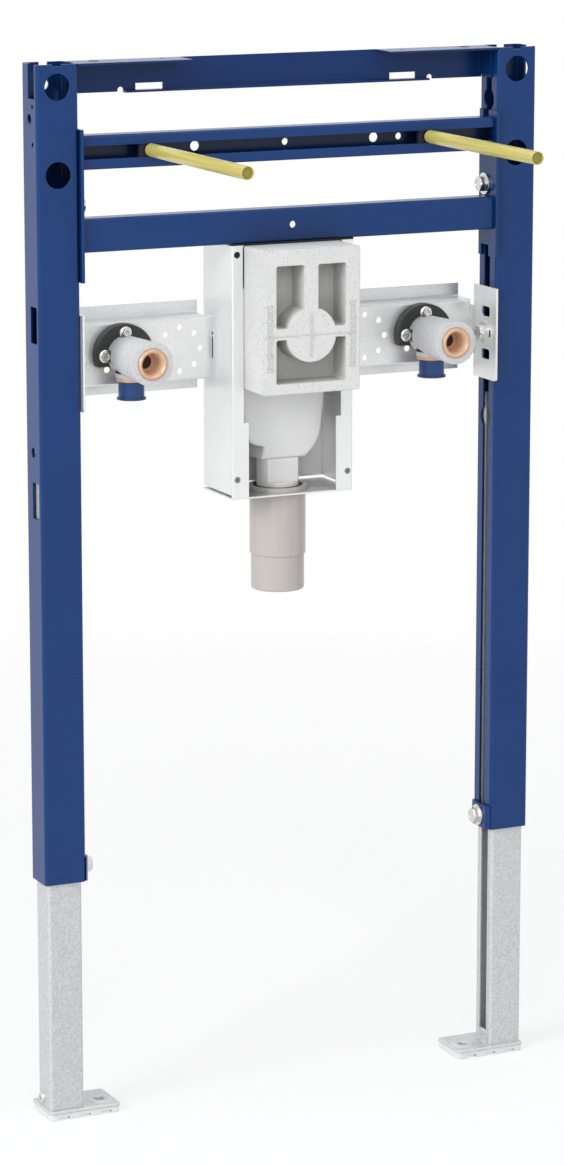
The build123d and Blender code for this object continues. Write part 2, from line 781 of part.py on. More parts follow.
# Tap rails with a tab on the trap box, their brackets on the posts, and the bracket bolts
web_half = tap_web_height / 2
ledge_y = tap_web_y + tap_ledge
web_back_y = tap_web_y + tap_sheet
hat_start = box_x + tap_tab_gap
hat_end = bracket_x - tap_end_gap
tab_y = tap_web_y - tap_tab_reach
bracket_front = front_y - bracket_proud
foot_back_y = web_back_y + bracket_sheet
for name, side in sides:
    bend_side = Side.RIGHT if side > 0 else Side.LEFT
    with BuildPart() as tap_rail:
        hat_line = [
            (ledge_y, tap_z - web_half - tap_flange),
            (ledge_y, tap_z - web_half),
            (tap_web_y, tap_z - web_half),
            (tap_web_y, tap_z + web_half),
            (ledge_y, tap_z + web_half),
            (ledge_y, tap_z + web_half + tap_flange),
        ]
        hat_plane = Plane.YZ.offset(side * hat_start)
        hat = folded_strip(hat_plane, hat_line, tap_bend, tap_sheet, Side.RIGHT)
        extrude(hat, amount=side * (hat_end - hat_start))
        tab_line = [
            (side * box_x, tab_y),
            (side * box_x, web_back_y),
            (side * hat_start, web_back_y),
        ]
        tab_plane = Plane.XY.offset(tap_z - tap_tab_height / 2)
        extrude(folded_strip(tab_plane, tab_line, tap_bend, tap_sheet, bend_side), amount=tap_tab_height)
        with BuildSketch(Plane.YZ.offset(side * box_x)):
            with Locations((tab_y + tap_tab_reach / 2, tap_z)):
                Rectangle(tab_slit_width, tab_slit_length)
        extrude(amount=side * tap_sheet, mode=Mode.SUBTRACT)
        with BuildSketch(Plane.XZ.offset(-tap_web_y)):
            for ring_x in (tap_x, spare_ring_x):
                with Locations((side * ring_x, tap_z)):
                    with PolarLocations(ring_r, ring_count):
                        Circle(ring_hole_r)
        extrude(amount=-2 * tap_sheet, mode=Mode.SUBTRACT)
    save(tap_rail, f"{name}_tap_rail")

    with BuildPart() as bracket:
        with BuildSketch(Plane.YZ.offset(side * inner_x)):
            with Locations((bracket_front, tap_z)):
                Rectangle(bracket_proud + bracket_rear, bracket_height, align=(Align.MIN, Align.CENTER))
            fillet(vertices().group_by(Axis.Y)[0], bracket_round)
            with Locations((bracket_front, tap_z)):
                Rectangle(foot_back_y - bracket_front, bracket_foot_height, align=(Align.MIN, Align.CENTER))
            with Locations((0, tap_z)):
                Circle(bolt_hole_r, mode=Mode.SUBTRACT)
            with Locations((front_y + bracket_slot_inset, tap_z)):
                with GridLocations(0, bracket_slot_pitch, 1, 2):
                    RectangleRounded(bracket_slot_width, bracket_slot_height, bracket_slot_corner,
                                     mode=Mode.SUBTRACT)
            with Locations((front_y + bracket_hole_inset, tap_z)):
                SlotOverall(bracket_hole_height, bracket_hole_width, rotation=90, mode=Mode.SUBTRACT)
        extrude(amount=-side * bracket_sheet)
        with BuildSketch(Plane.XY.offset(tap_z - bracket_foot_height / 2)):
            with Locations((side * inner_x, web_back_y)):
                Rectangle(bracket_foot_length, bracket_sheet,
                          align=(Align.MAX if side > 0 else Align.MIN, Align.MIN))
        extrude(amount=bracket_foot_height)
    save(bracket, f"{name}_tap_bracket")
    bracket_bolt = slot_bolt(bracket_x, tap_z, inner_x + post_wall, slot_nut_width, slot_nut_length, side)
    save(bracket_bolt, f"{name}_bracket_bolt")

# Wall plate elbows: mounting disc, brass elbow, insulation sleeve and dust cap
socket_y = front_y - socket_proud
disc_front_y = tap_web_y - disc_thickness
elbow_y = front_y + elbow_inset
sleeve_front_y = socket_y + insulation_setback
ring_top = tap_z - elbow_leg_drop
cap_top = ring_top - elbow_ring_height
for name, side in sides:
    axis_x = side * tap_x
    with BuildPart() as disc:
        with BuildSketch(Plane.XZ.offset(-tap_web_y)):
            with Locations((axis_x, tap_z)):
                Circle(disc_r)
            with Locations((axis_x, tap_z - disc_flat_drop)):
                Rectangle(2 * disc_r, disc_r, align=(Align.CENTER, Align.MAX), mode=Mode.SUBTRACT)
        extrude(amount=disc_thickness)
        fillet(disc.faces().sort_by(Axis.Y)[0].edges(), disc_edge)
    save(disc, f"{name}_tap_disc")

    with BuildPart() as elbow:
        with BuildSketch(Plane.XZ.offset(-socket_y)):
            with Locations((axis_x, tap_z)):
                Circle(socket_r)
        extrude(amount=-(disc_front_y - socket_y))
        with BuildSketch(Plane.XY.offset(tap_z)):
            with Locations((axis_x, elbow_y)):
                Circle(elbow_leg_r)
        extrude(amount=-(tap_z - cap_top + elbow_tail))
        with BuildSketch(Plane.XY.offset(ring_top)):
            with Locations((axis_x, elbow_y)):
                Circle(elbow_ring_r)
        extrude(amount=-elbow_ring_height)
        with BuildSketch(Plane.XZ.offset(-socket_y)):
            with Locations((axis_x, tap_z)):
                Circle(socket_bore_r)
        extrude(amount=-socket_depth, mode=Mode.SUBTRACT)
        with BuildSketch(Plane.XZ.offset(-socket_y - socket_depth)):
            with Locations((axis_x, tap_z)):
                Circle(waterway_r)
        extrude(amount=-waterway_depth, mode=Mode.SUBTRACT)
        front_edges = elbow.edges().filter_by(GeomType.CIRCLE).group_by(Axis.Y)[0]
        chamfer(front_edges, socket_edge)
    save(elbow, f"{name}_tap_elbow")

    with BuildPart() as insulation:
        with BuildSketch(Plane.YZ.offset(axis_x)):
            with BuildLine():
                Polyline(
                    (disc_front_y, tap_z + socket_r + insulation_gap),
                    (disc_front_y, tap_z + insulation_back_r),
                    (sleeve_front_y, tap_z + insulation_front_r),
                    (sleeve_front_y, tap_z + socket_r + insulation_gap),
                    close=True,
                )
            make_face()
        revolve(axis=Axis((axis_x, 0, tap_z), (0, 1, 0)))
        with BuildSketch(Plane.XY.offset(tap_z)):
            with Locations((axis_x, elbow_y)):
                Circle(elbow_ring_r + insulation_gap)
        extrude(amount=-2 * insulation_front_r, mode=Mode.SUBTRACT)
        with BuildSketch(Plane.XZ.offset(-disc_front_y)):
            with Locations((axis_x - ring_r, tap_z), (axis_x + ring_r, tap_z), (axis_x, tap_z + ring_r)):
                Circle(screw_pocket_r)
        extrude(amount=screw_pocket_depth, mode=Mode.SUBTRACT)
    save(insulation, f"{name}_insulation_sleeve")

    with BuildPart() as cap:
        with BuildSketch(Plane.XY.offset(cap_top - cap_height)):
            with Locations((axis_x, elbow_y)):
                Circle(cap_r)
        extrude(amount=cap_height)
        with BuildSketch(Plane.XY.offset(cap_top - cap_height)):
            with Locations((axis_x, elbow_y)):
                Circle(cap_rim_r)
        extrude(amount=cap_rim_height)
        with BuildSketch(Plane.XY.offset(cap_top)):
            with Locations((axis_x, elbow_y)):
                Circle(elbow_leg_r + cap_gap)
        extrude(amount=-(cap_height - cap_floor), mode=Mode.SUBTRACT)
    save(cap, f"{name}_tap_cap")
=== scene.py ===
from math import radians

import bmesh
import bpy
import numpy as np
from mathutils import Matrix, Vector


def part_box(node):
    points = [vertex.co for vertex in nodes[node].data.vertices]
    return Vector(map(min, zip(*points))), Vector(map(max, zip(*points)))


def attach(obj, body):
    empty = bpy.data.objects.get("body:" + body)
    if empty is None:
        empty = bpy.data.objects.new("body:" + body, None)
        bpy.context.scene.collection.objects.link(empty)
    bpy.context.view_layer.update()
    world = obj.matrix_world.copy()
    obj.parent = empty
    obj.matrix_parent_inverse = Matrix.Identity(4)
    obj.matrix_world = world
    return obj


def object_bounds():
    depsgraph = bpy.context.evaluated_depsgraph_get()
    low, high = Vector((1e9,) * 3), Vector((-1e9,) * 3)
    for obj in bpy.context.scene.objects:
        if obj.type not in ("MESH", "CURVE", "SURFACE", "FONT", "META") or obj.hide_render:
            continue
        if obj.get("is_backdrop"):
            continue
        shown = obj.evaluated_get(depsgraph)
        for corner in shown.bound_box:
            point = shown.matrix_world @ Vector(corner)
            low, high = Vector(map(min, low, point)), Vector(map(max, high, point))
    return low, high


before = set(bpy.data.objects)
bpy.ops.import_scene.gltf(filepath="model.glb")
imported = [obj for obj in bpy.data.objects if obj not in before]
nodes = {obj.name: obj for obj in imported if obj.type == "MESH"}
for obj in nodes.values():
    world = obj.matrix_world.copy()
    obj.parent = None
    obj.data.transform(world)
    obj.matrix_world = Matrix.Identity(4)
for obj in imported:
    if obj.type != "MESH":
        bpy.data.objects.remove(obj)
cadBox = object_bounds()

scene = bpy.context.scene
scene.view_settings.view_transform = "Standard"
print("frame loaded")

# The camera was fitted to the photo's edges: place in metres, tilt and turn in degrees
cameraLook = {
    "place": (-1.5977, -3.4122, 1.2848), "tilt": 78.028, "turn": -25.051, "lens": 127.457, "sensor": 36.0,
}
cameraData = bpy.data.cameras.new("photoCamera")
cameraData.sensor_fit = "VERTICAL"
cameraData.sensor_height = cameraLook["sensor"]
cameraData.lens = cameraLook["lens"]
camera = bpy.data.objects.new("photoCamera", cameraData)
camera.location = cameraLook["place"]
camera.rotation_euler = (radians(cameraLook["tilt"]), 0, radians(cameraLook["turn"]))
scene.collection.objects.link(camera)
scene.camera = camera
print("camera set")


# A new shader node with its settings; an input is either a value or a socket to link from
def put(tree, kind, inputs=None, **settings):
    made = tree.nodes.new("ShaderNode" + kind)
    for name, value in settings.items():
        setattr(made, name, value)
    for name, value in (inputs or {}).items():
        if isinstance(value, bpy.types.NodeSocket):
            tree.links.new(value, made.inputs[name])
        else:
            made.inputs[name].default_value = value
    return made


# An empty node group with named sockets: inputs give a kind and a first value, outputs a kind
def startGroup(name, inputs, outputs):
    group = bpy.data.node_groups.new(name, "ShaderNodeTree")
    for label, (kind, value) in inputs.items():
        socket = group.interface.new_socket(label, in_out="INPUT", socket_type="NodeSocket" + kind)
        if value is not None:
            socket.default_value = value
    for label, kind in outputs.items():
        group.interface.new_socket(label, in_out="OUTPUT", socket_type="NodeSocket" + kind)
    return group, group.nodes.new("NodeGroupInput").outputs, group.nodes.new("NodeGroupOutput").inputs


def useGroup(tree, group, inputs):
    return put(tree, "Group", inputs, node_tree=group).outputs


# Ranges and detail of the noise that the shared effects read, and the samples of the two that look around
effectLook = {
    "driftRange": (0.3, 0.7), "lineRange": (0.25, 0.75), "fineDetail": 2.0,
    "edgeSamples": 4, "recessSamples": 8,
}


# A rounded normal at sharp edges, and a mask of where that normal leaves the plain one
def makeSoftEdge():
    group, given, out = startGroup(
        "softEdge",
        {"Radius": ("Float", 0.0006), "Gain": ("Float", 5.0)},
        {"Normal": "Vector", "Edge": "Float"},
    )
    bevel = put(group, "Bevel", {"Radius": given["Radius"]}, samples=effectLook["edgeSamples"])
    plain = put(group, "NewGeometry")
    alike = put(
        group, "VectorMath", {0: bevel.outputs["Normal"], 1: plain.outputs["Normal"]}, operation="DOT_PRODUCT"
    )
    apart = put(group, "Math", {0: 1.0, 1: alike.outputs["Value"]}, operation="SUBTRACT")
    lifted = put(group, "Math", {0: apart.outputs[0], 1: given["Gain"]}, operation="MULTIPLY", use_clamp=True)
    group.links.new(bevel.outputs["Normal"], out["Normal"])
    group.links.new(lifted.outputs[0], out["Edge"])
    return group


# Slow cloudy change of tone, from 0 to 1
def makeToneDrift():
    group, given, out = startGroup(
        "toneDrift",
        {"Vector": ("Vector", None), "Scale": ("Float", 20.0), "Detail": ("Float", 3.0)},
        {"Tone": "Float"},
    )
    cloud = put(
        group, "TexNoise", {"Vector": given["Vector"], "Scale": given["Scale"], "Detail": given["Detail"]}
    )
    low, high = effectLook["driftRange"]
    spread = put(group, "MapRange", {"Value": cloud.outputs["Fac"], "From Min": low, "From Max": high})
    group.links.new(spread.outputs["Result"], out["Tone"])
    return group


# Random cells, such as zinc spangle or foam beads: a tone for each cell and the distance from its middle
def makeCellTone():
    group, given, out = startGroup(
        "cellTone", {"Vector": ("Vector", None), "Scale": ("Float", 300.0)}, {"Cell": "Float", "Gap": "Float"}
    )
    cells = put(group, "TexVoronoi", {"Vector": given["Vector"], "Scale": given["Scale"]})
    parts = put(group, "SeparateColor", {"Color": cells.outputs["Color"]})
    group.links.new(parts.outputs["Red"], out["Cell"])
    group.links.new(cells.outputs["Distance"], out["Gap"])
    return group


# Lines drawn out along one axis, as rolled sheet and turned metal have them
def makeDrawnTone():
    group, given, out = startGroup(
        "drawnTone",
        {"Vector": ("Vector", None), "Stretch": ("Vector", (1.0, 1.0, 0.02)), "Scale": ("Float", 600.0)},
        {"Tone": "Float"},
    )
    drawn = put(group, "VectorMath", {0: given["Vector"], 1: given["Stretch"]}, operation="MULTIPLY")
    lines = put(
        group,
        "TexNoise",
        {"Vector": drawn.outputs["Vector"], "Scale": given["Scale"], "Detail": effectLook["fineDetail"]},
    )
    low, high = effectLook["lineRange"]
    spread = put(group, "MapRange", {"Value": lines.outputs["Fac"], "From Min": low, "From Max": high})
    group.links.new(spread.outputs["Result"], out["Tone"])
    return group


# Relief of fine noise over the rounded edge normal, its height in metres
def makeFineRelief():
    group, given, out = startGroup(
        "fineRelief",
        {
            "Vector": ("Vector", None),
            "Scale": ("Float", 900.0),
            "Height": ("Float", 0.00002),
            "Extra": ("Float", 0.0),
            "Normal": ("Vector", None),
        },
        {"Normal": "Vector"},
    )
    grain = put(
        group,
        "TexNoise",
        {"Vector": given["Vector"], "Scale": given["Scale"], "Detail": effectLook["fineDetail"]},
    )
    whole = put(group, "Math", {0: grain.outputs["Fac"], 1: given["Extra"]}, operation="ADD")
    bump = put(
        group,
        "Bump",
        {"Height": whole.outputs[0], "Distance": given["Height"], "Strength": 1.0, "Normal": given["Normal"]},
    )
    group.links.new(bump.outputs["Normal"], out["Normal"])
    return group


# How far a place is closed in by the walls round it, from 0 in the open to 1: the mask for painted shade in
# recesses
def makeRecessShade():
    group, given, out = startGroup("recessShade", {"Reach": ("Float", 0.03)}, {"Recess": "Float"})
    samples = effectLook["recessSamples"]
    openness = put(group, "AmbientOcclusion", {"Distance": given["Reach"]}, samples=samples)
    closed = put(group, "Math", {0: 1.0, 1: openness.outputs["AO"]}, operation="SUBTRACT", use_clamp=True)
    group.links.new(closed.outputs[0], out["Recess"])
    return group


softEdge = makeSoftEdge()
toneDrift = makeToneDrift()
cellTone = makeCellTone()
drawnTone = makeDrawnTone()
fineRelief = makeFineRelief()
recessShade = makeRecessShade()
print("shared effects made")


def mixColour(tree, amount, first, second):
    return put(tree, "Mix", {0: amount, 6: first, 7: second}, data_type="RGBA").outputs[2]


def scaled(tree, value, factor):
    return put(tree, "Math", {0: value, 1: factor}, operation="MULTIPLY").outputs[0]


# Each finish layers a cloudy tone, cells, drawn lines, edges lightened as wear and painted highlight, specks
# and painted shade in recesses over its colour
def makeFinish(name, look):
    material = bpy.data.materials.new(name)
    material.use_nodes = True
    tree = material.node_tree
    tree.nodes.clear()
    place = put(tree, "TexCoord").outputs["Object"]
    edge = useGroup(tree, softEdge, {"Radius": look["edgeRadius"]})
    drift = useGroup(tree, toneDrift, {"Vector": place, "Scale": look["driftScale"]})["Tone"]
    cells = useGroup(tree, cellTone, {"Vector": place, "Scale": look["cellScale"]})
    lines = useGroup(
        tree, drawnTone, {"Vector": place, "Stretch": look["stretch"], "Scale": look["lineScale"]}
    )["Tone"]
    colour = (*look["colour"], 1)
    # The edge mask lightens the colour towards the edge tone: part wear, part painted highlight on edges and
    # bends
    for mask, amount, tone in (
        (drift, "driftAmount", "shade"), (cells["Cell"], "cellAmount", "fleck"),
        (lines, "lineAmount", "shade"), (edge["Edge"], "edgeAmount", "edgeColour"),
    ):
        colour = mixColour(tree, scaled(tree, mask, look[amount]), colour, (*look[tone], 1))
    if "speckAmount" in look:
        specks = useGroup(tree, cellTone, {"Vector": place, "Scale": look["speckScale"]})["Cell"]
        chosen = put(tree, "Math", {0: specks, 1: look["speckAbove"]}, operation="GREATER_THAN").outputs[0]
        colour = mixColour(tree, scaled(tree, chosen, look["speckAmount"]), colour, (*look["speck"], 1))
    # Painted shade: the colour darkens towards the recess tone where walls close a place in
    if "recessAmount" in look:
        recess = useGroup(tree, recessShade, {"Reach": look["recessReach"]})["Recess"]
        colour = mixColour(tree, scaled(tree, recess, look["recessAmount"]), colour, (*look["recess"], 1))
    blotch = put(tree, "Math", {0: drift, 1: cells["Cell"]}, operation="MULTIPLY").outputs[0]
    rough = put(
        tree, "MapRange", {"Value": blotch, "To Min": look["rough"][0], "To Max": look["rough"][1]}
    ).outputs["Result"]
    normal = useGroup(
        tree,
        fineRelief,
        {
            "Vector": place,
            "Scale": look["grainScale"],
            "Height": look["grainHeight"],
            "Extra": scaled(tree, cells["Gap"], look["cellRelief"]),
            "Normal": edge["Normal"],
        },
    )["Normal"]
    shader = put(
        tree,
        "BsdfPrincipled",
        {
            "Base Color": colour,
            "Roughness": rough,
            "Normal": normal,
            "Metallic": look["metallic"],
            "IOR": look["ior"],
        },
    )
    output = put(tree, "OutputMaterial")
    tree.links.new(shader.outputs["BSDF"], output.inputs["Surface"])
    return material


# In a finish, shade is the tone of cloudy patches and drawn lines, fleck that of the cells, and rough is a
# range of roughness; scales are in features a metre, and radii, heights and reaches in metres
bluePaint = {
    "colour": (0.0022, 0.041, 0.182), "shade": (0.0018, 0.034, 0.156), "fleck": (0.004, 0.046, 0.196),
    "edgeColour": (0.02, 0.085, 0.27), "edgeAmount": 0.3, "edgeRadius": 0.0007,
    "driftScale": 7.0, "driftAmount": 0.7, "cellScale": 900.0, "cellAmount": 0.05,
    "stretch": (1.0, 1.0, 0.05), "lineScale": 120.0, "lineAmount": 0.08,
    "grainScale": 600.0, "grainHeight": 0.000010, "cellRelief": 0.0,
    "rough": (0.22, 0.30), "metallic": 0.0, "ior": 1.38,
    # Painted shade: a darker blue where the paint is closed in
    "recessAmount": 0.9, "recessReach": 0.04, "recess": (0.0006, 0.006, 0.024),
}
# A darker copy of the blue paint for the top rail: painted shade under its top flange
shadedBlue = dict(
    bluePaint, colour=(0.0014, 0.029, 0.140), shade=(0.0012, 0.025, 0.122), fleck=(0.0025, 0.034, 0.155),
    ior=1.33, recessAmount=0.15,
)
galvanisedSteel = {
    "colour": (0.56, 0.565, 0.57), "shade": (0.42, 0.425, 0.43), "fleck": (0.88, 0.885, 0.89),
    # Edges lightened almost to white: painted highlight along the bends
    "edgeColour": (0.98, 0.98, 0.985), "edgeAmount": 1.0, "edgeRadius": 0.0030,
    "driftScale": 260.0, "driftAmount": 0.4, "cellScale": 900.0, "cellAmount": 0.55,
    "stretch": (1.0, 1.0, 0.04), "lineScale": 500.0, "lineAmount": 0.1,
    "grainScale": 900.0, "grainHeight": 0.00006, "cellRelief": 0.3,
    "rough": (0.40, 0.58), "metallic": 0.4, "ior": 1.5,
}
brightSheet = {
    "colour": (0.91, 0.91, 0.905), "shade": (0.79, 0.795, 0.80), "fleck": (0.94, 0.94, 0.94),
    "edgeColour": (0.98, 0.98, 0.985), "edgeAmount": 0.7, "edgeRadius": 0.0008,
    "driftScale": 25.0, "driftAmount": 0.4, "cellScale": 900.0, "cellAmount": 0.3,
    "stretch": (1.0, 1.0, 0.03), "lineScale": 420.0, "lineAmount": 0.4,
    "grainScale": 600.0, "grainHeight": 0.00003, "cellRelief": 0.2,
    "rough": (0.30, 0.44), "metallic": 0.65, "ior": 1.5,
}
# Its recess tone is painted shade in the inner bends, tinted blue as a painted reflection of the blue frame
plainSheet = dict(
    brightSheet, stretch=(0.03, 1.0, 1.0), driftAmount=0.6, cellScale=500.0, cellAmount=0.7,
    fleck=(0.80, 0.80, 0.785), recessAmount=0.5, recessReach=0.007, recess=(0.36, 0.38, 0.43),
)
platedSteel = {
    "colour": (0.76, 0.75, 0.73), "shade": (0.56, 0.555, 0.54), "fleck": (0.85, 0.845, 0.83),
    "edgeColour": (0.92, 0.91, 0.88), "edgeAmount": 0.6, "edgeRadius": 0.0004,
    "driftScale": 200.0, "driftAmount": 0.6, "cellScale": 900.0, "cellAmount": 0.3,
    "stretch": (0.05, 1.0, 1.0), "lineScale": 900.0, "lineAmount": 0.3,
    "grainScale": 900.0, "grainHeight": 0.00003, "cellRelief": 0.1,
    "rough": (0.20, 0.34), "metallic": 1.0, "ior": 1.5,
}
yellowPlastic = {
    "colour": (0.64, 0.56, 0.15), "shade": (0.56, 0.48, 0.12), "fleck": (0.69, 0.61, 0.19),
    "edgeColour": (0.95, 0.89, 0.42), "edgeAmount": 0.8, "edgeRadius": 0.0007,
    "driftScale": 22.0, "driftAmount": 0.45, "cellScale": 500.0, "cellAmount": 0.05,
    "stretch": (1.0, 0.02, 1.0), "lineScale": 400.0, "lineAmount": 0.45,
    "grainScale": 260.0, "grainHeight": 0.00001, "cellRelief": 0.0,
    "rough": (0.20, 0.30), "metallic": 0.0, "ior": 1.5,
}
# A darker copy of the yellow plastic: painted shade inside the sleeve ends
shadedSleeveYellow = dict(
    yellowPlastic, colour=(0.33, 0.28, 0.04), shade=(0.27, 0.23, 0.03), fleck=(0.38, 0.33, 0.05)
)
blackRubber = {
    "colour": (0.030, 0.032, 0.030), "shade": (0.020, 0.021, 0.020), "fleck": (0.048, 0.050, 0.048),
    "edgeColour": (0.10, 0.105, 0.10), "edgeAmount": 0.5, "edgeRadius": 0.0008,
    "driftScale": 80.0, "driftAmount": 0.7, "cellScale": 1400.0, "cellAmount": 0.3,
    "stretch": (1.0, 1.0, 1.0), "lineScale": 600.0, "lineAmount": 0.1,
    "grainScale": 1500.0, "grainHeight": 0.00005, "cellRelief": 0.3,
    "rough": (0.46, 0.62), "metallic": 0.0, "ior": 1.48,
}
redBrass = {
    "colour": (0.77, 0.49, 0.325), "shade": (0.63, 0.38, 0.24), "fleck": (0.84, 0.58, 0.41),
    "edgeColour": (0.90, 0.64, 0.46), "edgeAmount": 0.5, "edgeRadius": 0.0005,
    "driftScale": 90.0, "driftAmount": 0.5, "cellScale": 900.0, "cellAmount": 0.2,
    "stretch": (0.15, 1.0, 0.15), "lineScale": 1500.0, "lineAmount": 0.3,
    "grainScale": 900.0, "grainHeight": 0.00003, "cellRelief": 0.0,
    "rough": (0.36, 0.50), "metallic": 0.25, "ior": 1.5,
}
# A lighter copy of the brass: painted light on the walls of the socket bores
litBrass = dict(
    redBrass, colour=(0.93, 0.67, 0.48), shade=(0.84, 0.57, 0.39), fleck=(0.95, 0.73, 0.55), metallic=0.1
)
greyFoam = {
    "colour": (0.65, 0.655, 0.665), "shade": (0.55, 0.555, 0.565), "fleck": (0.78, 0.785, 0.79),
    "edgeColour": (0.88, 0.89, 0.90), "edgeAmount": 0.6, "edgeRadius": 0.0014,
    "driftScale": 160.0, "driftAmount": 0.5, "cellScale": 600.0, "cellAmount": 0.7,
    "stretch": (1.0, 1.0, 1.0), "lineScale": 300.0, "lineAmount": 0.1,
    "grainScale": 1200.0, "grainHeight": 0.00016, "cellRelief": 0.8,
    "rough": (0.75, 0.92), "metallic": 0.0, "ior": 1.4,
}
bluePlastic = {
    "colour": (0.016, 0.064, 0.215), "shade": (0.012, 0.050, 0.175), "fleck": (0.022, 0.076, 0.240),
    "edgeColour": (0.07, 0.15, 0.36), "edgeAmount": 0.5, "edgeRadius": 0.0005,
    "driftScale": 70.0, "driftAmount": 0.6, "cellScale": 1200.0, "cellAmount": 0.1,
    "stretch": (1.0, 1.0, 0.05), "lineScale": 500.0, "lineAmount": 0.2,
    "grainScale": 600.0, "grainHeight": 0.00001, "cellRelief": 0.0,
    "rough": (0.28, 0.36), "metallic": 0.0, "ior": 1.45,
}
whiteFoam = {
    "colour": (0.79, 0.79, 0.78), "shade": (0.71, 0.71, 0.70), "fleck": (0.85, 0.85, 0.84),
    "edgeColour": (0.90, 0.90, 0.89), "edgeAmount": 0.4, "edgeRadius": 0.0014,
    "driftScale": 45.0, "driftAmount": 0.4, "cellScale": 420.0, "cellAmount": 0.4,
    "stretch": (1.0, 1.0, 1.0), "lineScale": 200.0, "lineAmount": 0.1,
    "grainScale": 700.0, "grainHeight": 0.00022, "cellRelief": -0.9,
    "rough": (0.72, 0.90), "metallic": 0.0, "ior": 1.4,
    "speckScale": 1000.0, "speckAbove": 0.94, "speckAmount": 0.5, "speck": (0.45, 0.45, 0.44),
    # Painted shade: grey in the plug's windows and other closed-in places
    "recessAmount": 0.8, "recessReach": 0.03, "recess": (0.30, 0.30, 0.29),
}
whitePlastic = {
    "colour": (0.87, 0.87, 0.86), "shade": (0.80, 0.80, 0.79), "fleck": (0.90, 0.90, 0.89),
    "edgeColour": (0.88, 0.88, 0.87), "edgeAmount": 0.5, "edgeRadius": 0.0008,
    "driftScale": 30.0, "driftAmount": 0.6, "cellScale": 900.0, "cellAmount": 0.15,
    "stretch": (1.0, 1.0, 0.05), "lineScale": 300.0, "lineAmount": 0.1,
    "grainScale": 800.0, "grainHeight": 0.00003, "cellRelief": 0.0,
    "rough": (0.30, 0.42), "metallic": 0.0, "ior": 1.5,
}
beigePlastic = {
    "colour": (0.575, 0.53, 0.505), "shade": (0.455, 0.415, 0.39), "fleck": (0.61, 0.57, 0.545),
    "edgeColour": (0.80, 0.76, 0.73), "edgeAmount": 0.5, "edgeRadius": 0.0003,
    "driftScale": 18.0, "driftAmount": 0.3, "cellScale": 900.0, "cellAmount": 0.03,
    "stretch": (1.0, 1.0, 0.02), "lineScale": 160.0, "lineAmount": 0.5,
    "grainScale": 200.0, "grainHeight": 0.000004, "cellRelief": 0.0,
    "rough": (0.28, 0.31), "metallic": 0.0, "ior": 1.5,
}
# Dark steel, for the dark screws and also as painted shade on the box's top plate and in the sheet slits
darkSteelAndShade = {
    "colour": (0.014, 0.015, 0.017), "shade": (0.009, 0.010, 0.012), "fleck": (0.030, 0.031, 0.034),
    "edgeColour": (0.12, 0.12, 0.12), "edgeAmount": 0.3, "edgeRadius": 0.0004,
    "driftScale": 90.0, "driftAmount": 0.6, "cellScale": 900.0, "cellAmount": 0.2,
    "stretch": (0.05, 1.0, 1.0), "lineScale": 700.0, "lineAmount": 0.2,
    "grainScale": 900.0, "grainHeight": 0.00002, "cellRelief": 0.1,
    "rough": (0.42, 0.55), "metallic": 0.0, "ior": 1.35,
}
rodSteel = dict(darkSteelAndShade, colour=(0.012, 0.018, 0.035), shade=(0.008, 0.012, 0.024), edgeAmount=0.1)
greyScrew = dict(darkSteelAndShade, colour=(0.30, 0.305, 0.31), shade=(0.20, 0.205, 0.21), fleck=(0.42, 0.425, 0.43))
# A dark brown for painted shade deep in each socket's bore
boreShadeBrown = dict(
    darkSteelAndShade, colour=(0.040, 0.016, 0.010), shade=(0.026, 0.010, 0.006), fleck=(0.070, 0.032, 0.020)
)
shadedSheet = dict(brightSheet, recessAmount=0.95, recessReach=0.07, recess=(0.20, 0.20, 0.20))
finishes = {
    "blue_paint": makeFinish("bluePaint", bluePaint),
    "galvanised_steel": makeFinish("galvanisedSteel", galvanisedSteel),
    "bright_sheet": makeFinish("brightSheet", brightSheet),
    "plated_steel": makeFinish("platedSteel", platedSteel),
    "yellow_plastic": makeFinish("yellowPlastic", yellowPlastic),
    "black_rubber": makeFinish("blackRubber", blackRubber),
    "red_brass": makeFinish("redBrass", redBrass),
    "grey_foam": makeFinish("greyFoam", greyFoam),
    "blue_plastic": makeFinish("bluePlastic", bluePlastic),
    "white_foam": makeFinish("whiteFoam", whiteFoam),
    "white_plastic": makeFinish("whitePlastic", whitePlastic),
    "beige_plastic": makeFinish("beigePlastic", beigePlastic),
}
plainSheetFinish = makeFinish("plainSheet", plainSheet)
darkSteelAndShadeFinish = makeFinish("darkSteelAndShade", darkSteelAndShade)
shadedBlueFinish = makeFinish("shadedBlue", shadedBlue)
rodFinish = makeFinish("rodSteel", rodSteel)
shadedSleeveEndFinish = makeFinish("shadedSleeveYellow", shadedSleeveYellow)
greyScrewFinish = makeFinish("greyScrew", greyScrew)
boreShadeFinish = makeFinish("boreShadeBrown", boreShadeBrown)
shadedSheetFinish = makeFinish("shadedSheet", shadedSheet)
litBrassFinish = makeFinish("litBrass", litBrass)
# Painted shade: the top rail in darker blue, the box's top plate in dark steel, the box floor in its recesses
ownFinishes = {
    "left_tap_rail": plainSheetFinish, "right_tap_rail": plainSheetFinish, "top_rail": shadedBlueFinish,
    "left_rod": rodFinish, "right_rod": rodFinish, "trap_box_top": darkSteelAndShadeFinish,
    "trap_box_floor": shadedSheetFinish,
}
for name, node in nodes.items():
    slotName = node.material_slots[0].material.name.split(".")[0]
    node.material_slots[0].material = ownFinishes.get(name, finishes[slotName])
print("finishes assigned")


